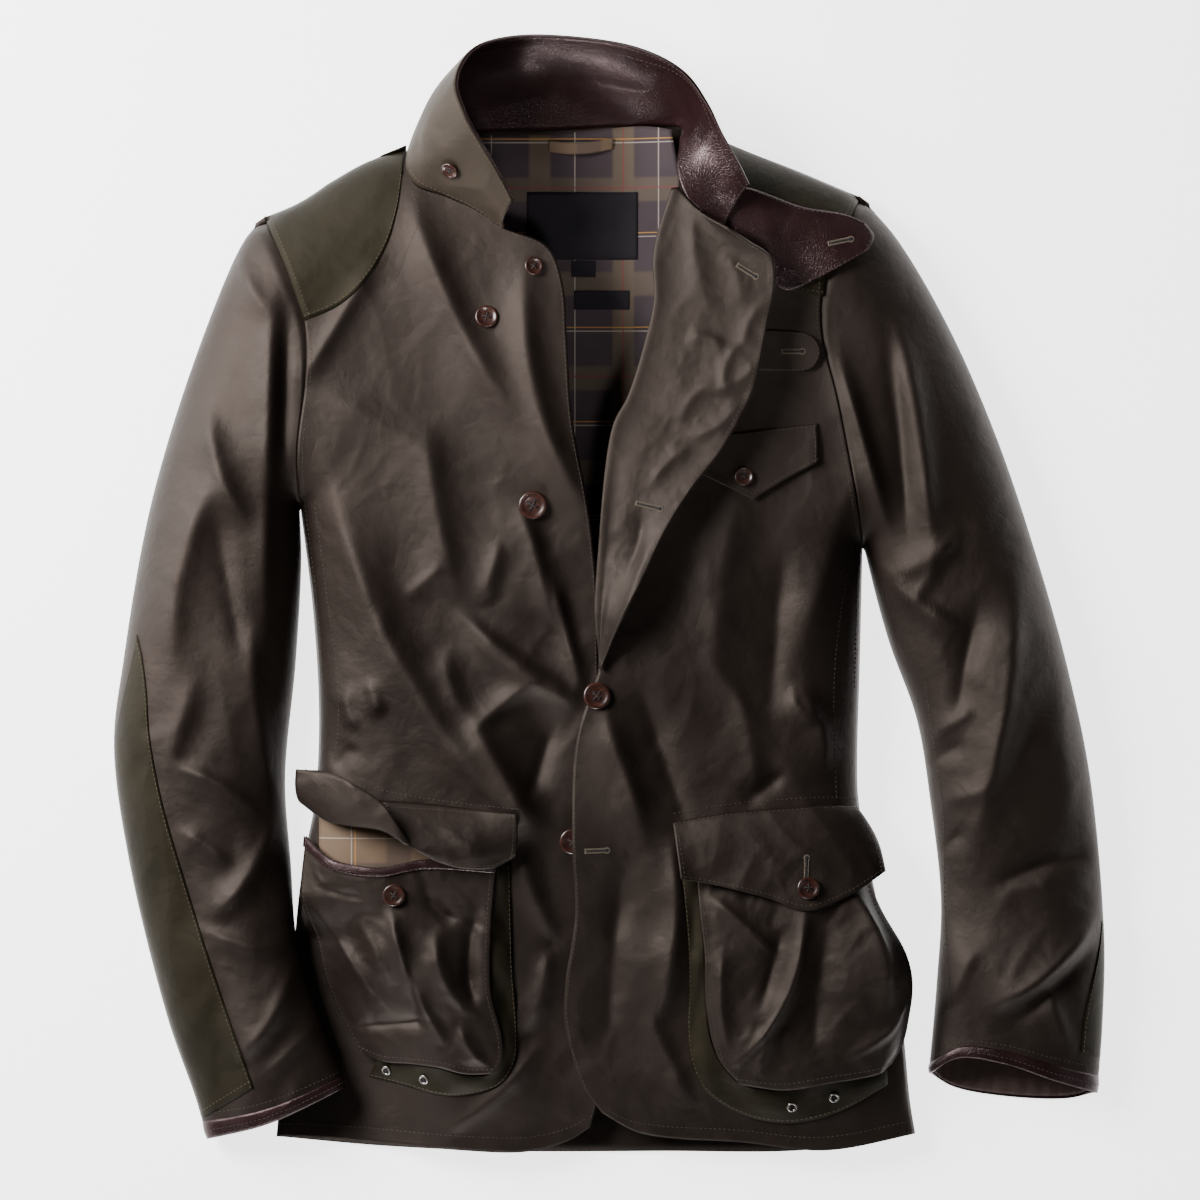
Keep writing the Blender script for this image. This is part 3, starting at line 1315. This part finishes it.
# %% Thread bars
def bars(name, centres, ways, outs, length, radius, made_of, slot):
    """A five-sided bar at each centre, along its way and standing off along out."""
    centres, ways, outs = (np.asarray(a, float) for a in (centres, ways, outs))
    sides = np.cross(outs, ways)
    t = np.array([-1.0, -0.55, 0.55, 1.0])[:, None]
    a = np.arange(5)[None, :] * 2 * math.pi / 5
    r = radius * (1 - 0.6 * t**4)
    along = t * length / 2 + 0 * a
    across, lift = r * np.cos(a), r * np.sin(a) + radius * 0.5 - 1.6 * radius * t**4
    points = (
        centres[:, None, None] + along[None, ..., None] * ways[:, None, None]
        + across[None, ..., None] * sides[:, None, None]
        + lift[None, ..., None] * outs[:, None, None]
    )
    first = 20 * np.arange(len(centres))
    quads = (grid_faces(4, 5, True) + first[:, None, None]).reshape(-1, 4).tolist()
    caps = []
    for k in first.tolist():
        caps += [[k + 4, k + 3, k + 2, k + 1, k], [k + 15, k + 16, k + 17, k + 18, k + 19]]
    return part(name, points, quads + caps, made_of, slot)


def line_on(sheet, row=None, column=None, low=0.0, high=1.0):
    """A row or column of a sheet's grid, and the way that the sheet faces along it."""
    n = normals_of(sheet)
    p, n = (sheet[row], n[row]) if column is None else (sheet[:, column], n[:, column])
    keep = slice(round(low * (len(p) - 1)), round(high * (len(p) - 1)) + 1)
    return p[keep], n[keep]


def across_front(*points, lift=0.0):
    """A smooth line drawn on the fronts, and the way that they face along it."""
    x, y = curve(*points).every(2).T
    p = on_front(x, y, lift)
    n = np.cross(on_front(x + 1, y, lift) - p, on_front(x, y + 1, lift) - p)
    return p, n / np.linalg.norm(n, axis=-1, keepdims=True)


SEWN = {}


def sew(name, lines, made_of, slot, pitch=3.5, length=2.4, radius=0.27):
    """Stitches at equal steps along some lines."""
    centres, ways, outs = [], [], []
    for p, n in lines:
        s = np.concatenate([[0], np.cumsum(np.linalg.norm(np.diff(p, axis=0), axis=1))])
        at = np.arange(pitch / 2, s[-1], pitch)
        both_ends = [
            np.stack([np.interp(at + d, s, p[:, k]) for k in range(3)], -1) for d in (-1, 1)
        ]
        way = both_ends[1] - both_ends[0]
        way = way / np.maximum(np.linalg.norm(way, axis=1, keepdims=True), 1e-9)
        out = np.stack([np.interp(at, s, n[:, k]) for k in range(3)], -1)
        out = out / np.linalg.norm(out, axis=1, keepdims=True)
        centres.append(sum(both_ends) / 2)
        ways.append(way)
        outs.append(out)
    bars(name, *(np.vstack(a) for a in (centres, ways, outs)), length, radius, made_of, slot)
    SEWN[name] = sum(len(c) for c in centres)


def laid_on(sheet, x, y):
    """Height and facing of a sheet under some points, weighted from its nearest grid points."""
    flat, n = sheet.reshape(-1, 3), normals_of(sheet).reshape(-1, 3)
    d = np.hypot(flat[:, 0] - x[:, None], flat[:, 1] - y[:, None])
    k = np.argsort(d, axis=1)[:, :4]
    w = 1 / (np.take_along_axis(d, k, axis=1) + 0.05) ** 2
    w = (w / w.sum(axis=1, keepdims=True))[..., None]
    out = (n[k] * w).sum(axis=1)
    out = out / np.linalg.norm(out, axis=1, keepdims=True)
    return np.column_stack([x, y, (flat[k, 2:] * w).sum(axis=1)]), out


def buttonhole(name, sheet, x, y, angle, length, slot="waxed_cotton"):
    """A dark slot with a round eye at one end, edged with bars, and a bar tack at the other."""
    c, s = math.cos(math.radians(angle)), math.sin(math.radians(angle))
    half = length / 2
    t = np.linspace(-half, half - 1.5, int(length / 0.8))
    turn = np.radians(np.linspace(-130, 130, 13))
    ends = np.linspace(-1.6, 1.6, 6)
    bars_at = [  # along, across, and the way of the bar in the slot's own plane
        (t, 1.25 + 0 * t, math.pi / 2 + 0.2 * np.sin(t * 5)),
        (t, -1.25 + 0 * t, math.pi / 2 + 0.2 * np.sin(t * 4)),
        (half + 1.9 * np.cos(turn), 1.9 * np.sin(turn), turn),
        (-half - 0.8 + 0 * ends, ends, 0 * ends),
    ]
    along, across, way = (np.concatenate(a) for a in zip(*bars_at))
    centres, outs = laid_on(sheet, x + along * c - across * s, y + along * s + across * c)
    way = way + math.radians(angle)
    ways = np.stack([np.cos(way), np.sin(way), 0 * way], axis=-1)
    ways = ways - (ways * outs).sum(axis=1, keepdims=True) * outs
    ways = ways / np.linalg.norm(ways, axis=1, keepdims=True)
    bars("buttonhole_" + name, centres, ways, outs, 1.8, 0.42, EDGE_THREAD, slot)
    t = np.linspace(-half, half + 1.2, 15)
    strip, outs = laid_on(sheet, x + t * c, y + t * s)
    wide = 0.65 + 0.7 * bump(t, half, 1.2)
    side = np.cross(outs, np.array([c, s, 0])) * wide[:, None]
    slot_grid = np.stack([strip - side, strip + side]) + 0.3 * outs
    made = shell("buttonhole_slot_" + name, slot_grid[::-1], 0.2)
    piece(made.name, made, HOLE, slot)


fronts = [
    line_on(front_right, column=-2, low=0.01, high=1), line_on(front_right, row=4, high=0.97),
    line_on(front_right, column=2, low=0.49), line_on(front_left, column=1, low=0.03, high=0.46),
    line_on(front_left, row=4, low=0.05), line_on(front_left, column=-3, low=0.47),
    across_front((-217, 70), (-206, -15), (-200, -60), (-200, -100), (-204, -126)),
    across_front((180, 38), (170, -17), (166, -62), (166, -106), (168, -150)),
    across_front((-226, -128), (-190, -138), (-150, -146), (-110, -152), (-66, -156)),
    across_front((47, -160), (80, -154), (119, -150), (160, -148), (184, -150)),
    across_front((-147, 303), (-140, 280), (-150, 250), (-160, 226), lift=0.0),
]
x, y = curve((233, -62), (240, -110), (247, -162), (248, -215), (251, -290), (257, -338)).every(2).T
seam_line = on_sleeve(SLEEVES["left"], x, y, 0)
lean = on_sleeve(SLEEVES["left"], x + 1, y, 0) - seam_line
rise = on_sleeve(SLEEVES["left"], x, y + 1, 0) - seam_line
facing = np.cross(lean, rise)
fronts.append((seam_line, facing / np.linalg.norm(facing, axis=1, keepdims=True)))
sew("stitches_fronts", fronts, THREAD, "waxed_cotton")
sew("stitches_lapel", [
    line_on(lapel, column=-3, low=0.05), line_on(storm, row=-2), line_on(storm, row=1),
    line_on(storm, column=-2), line_on(chest_flap, row=2), line_on(chest_flap, row=-2),
    line_on(chest_flap, column=1), line_on(chest_flap, column=-2),
], THREAD, "waxed_cotton")
sew("stitches_patches", [
    line_on(patch_right, column=-2), line_on(patch_right, row=1), line_on(patch_left, column=1),
    line_on(patch_left, row=1), line_on(elbow_right, column=-2), line_on(elbow_right, row=2),
    line_on(elbow_left, column=1), line_on(elbow_left, row=1),
], GOLD_THREAD, "olive_cotton")
sew("stitches_collar", [
    line_on(outside[:, ::-1], row=-2, low=0.72), line_on(outside[:, ::-1], column=-3),
    line_on(outside[:, ::-1], row=2, low=0.75),
], GOLD_THREAD, "olive_cotton")
sew("stitches_leather", [
    line_on(inside, row=-2), line_on(inside, column=-3), line_on(inside, row=-6),
    line_on(throat, row=1), line_on(throat, row=-2), line_on(throat, column=-2),
    line_on(binding, row=1), line_on(binding, row=-2),
], THREAD, "leather_trim")
sew("stitches_pockets", [
    line_on(face_right, column=1), line_on(face_right, column=-3), line_on(face_right, row=3),
    line_on(flap, row=-3), line_on(flap, column=-3), line_on(flap, row=2),
    line_on(face_left, column=2), line_on(face_left, column=-3), line_on(face_left, row=3),
    line_on(flap_left, row=2),
    line_on(flap_left, row=-2), line_on(flap_left, column=2), line_on(flap_left, column=-3),
], THREAD, "waxed_cotton")
sew("stitches_gussets", [
    line_on(gusset_right, row=1), line_on(gusset_left, row=1),
], GOLD_THREAD, "olive_cotton")
around = []
for side in SLEEVES:
    for low in (0.972, 0.99):
        ring = tube(SLEEVES[side], low, low + 0.002, 3)
        around.append(line_on(ring + (0.8 if low > 0.98 else 0) * normals_of(ring, wrap=True), row=1))
sew("stitches_cuffs", around, THREAD, "leather_trim")
buttonhole("lapel_top", lapel, 101, 238, -32, 15)
buttonhole("lapel_low", lapel, 29, 66, -14, 17)
buttonhole("front_low", front_left, -9, -187, 2, 15)
buttonhole("throat", throat, 170, 261, 12, 16, "leather_trim")
buttonhole("storm", storm, 135, 180, 0, 14)
buttonhole("flap_left", flap_left, 145, -200, 88, 16)
buttonhole("flap_right", flap, -166, -160, 80, 12)
print("stitches:", sum(SEWN.values()))

# %% [markdown]
# ## Cloth
# Each sheet states the size that it was cut to, and what it lies on.

# %% [markdown]
# ## Floor, light and camera
# The camera looks straight down through a long lens. The main light comes from the upper left.

# %% Floor, light and camera
corners = np.array([(x, y, -0.0006) for x, y in ((-6, -6), (6, -6), (6, 6), (-6, 6))])
floor = mesh_object("floor", corners, [(0, 1, 2, 3)])
floor.data.materials.append(
    material("pale floor", lambda where: {
        "Base Color": (0.9, 0.9, 0.9, 1), "Roughness": 0.9, "Specular IOR Level": 0.1,
        "Emission Color": (1, 1, 1, 1), "Emission Strength": 2.9,
    })
)


def aim(position, target):
    """Turns about X and Z that point a lamp's -Z axis from its position at a target."""
    x, y, z = (t - p for t, p in zip(target, position))
    return math.atan2(math.hypot(x, y), -z), 0, math.atan2(x, -y) + math.pi


def hang(data, position, target):
    light = bpy.data.objects.new(data.name, data)
    light.location = position
    light.rotation_euler = aim(position, target)
    bpy.context.scene.collection.objects.link(light)


def area_light(name, position, target, size, power):
    data = bpy.data.lights.new(name, "AREA")
    data.shape, data.size, data.energy = "DISK", size, power
    hang(data, position, target)


def spot_light(name, position, target, cone, power):
    data = bpy.data.lights.new(name, "SPOT")
    data.spot_size, data.energy = cone, power
    data.spot_blend, data.shadow_soft_size = 1.0, 0.15
    hang(data, position, target)


area_light("key", (-1.35, 0.7, 1.05), (-0.05, 0.0, 0.0), 1.0, 92)
area_light("fill", (1.9, -0.9, 1.3), (0, 0, 0), 1.8, 4)
area_light("low fill", (-0.4, -2.4, 0.32), (0, 0.2, 0.05), 0.8, 16)
spot_light("neck light", (0.2, -0.25, 1.3), (-0.01, 0.29, 0.0), 0.26, 60)
spot_light("collar light", (-0.3, -1.9, 0.34), (-0.03, 0.37, 0.04), 0.13, 300)
world = bpy.data.worlds.new("studio")
world.use_nodes = True
world.node_tree.nodes["Background"].inputs["Color"].default_value = (1, 1, 1, 1)
world.node_tree.nodes["Background"].inputs["Strength"].default_value = 0.07
bpy.context.scene.world = world

FAR = 4.5
VIEW_WIDTH = 0.888
SENSOR_WIDTH = 36
camera_data = bpy.data.cameras.new("camera")
camera_data.sensor_width = SENSOR_WIDTH
camera_data.lens = SENSOR_WIDTH * FAR / VIEW_WIDTH
camera = bpy.data.objects.new("camera", camera_data)
camera.location = (-0.0067, -0.0026, FAR + 0.02)
bpy.context.scene.collection.objects.link(camera)
bpy.context.scene.camera = camera
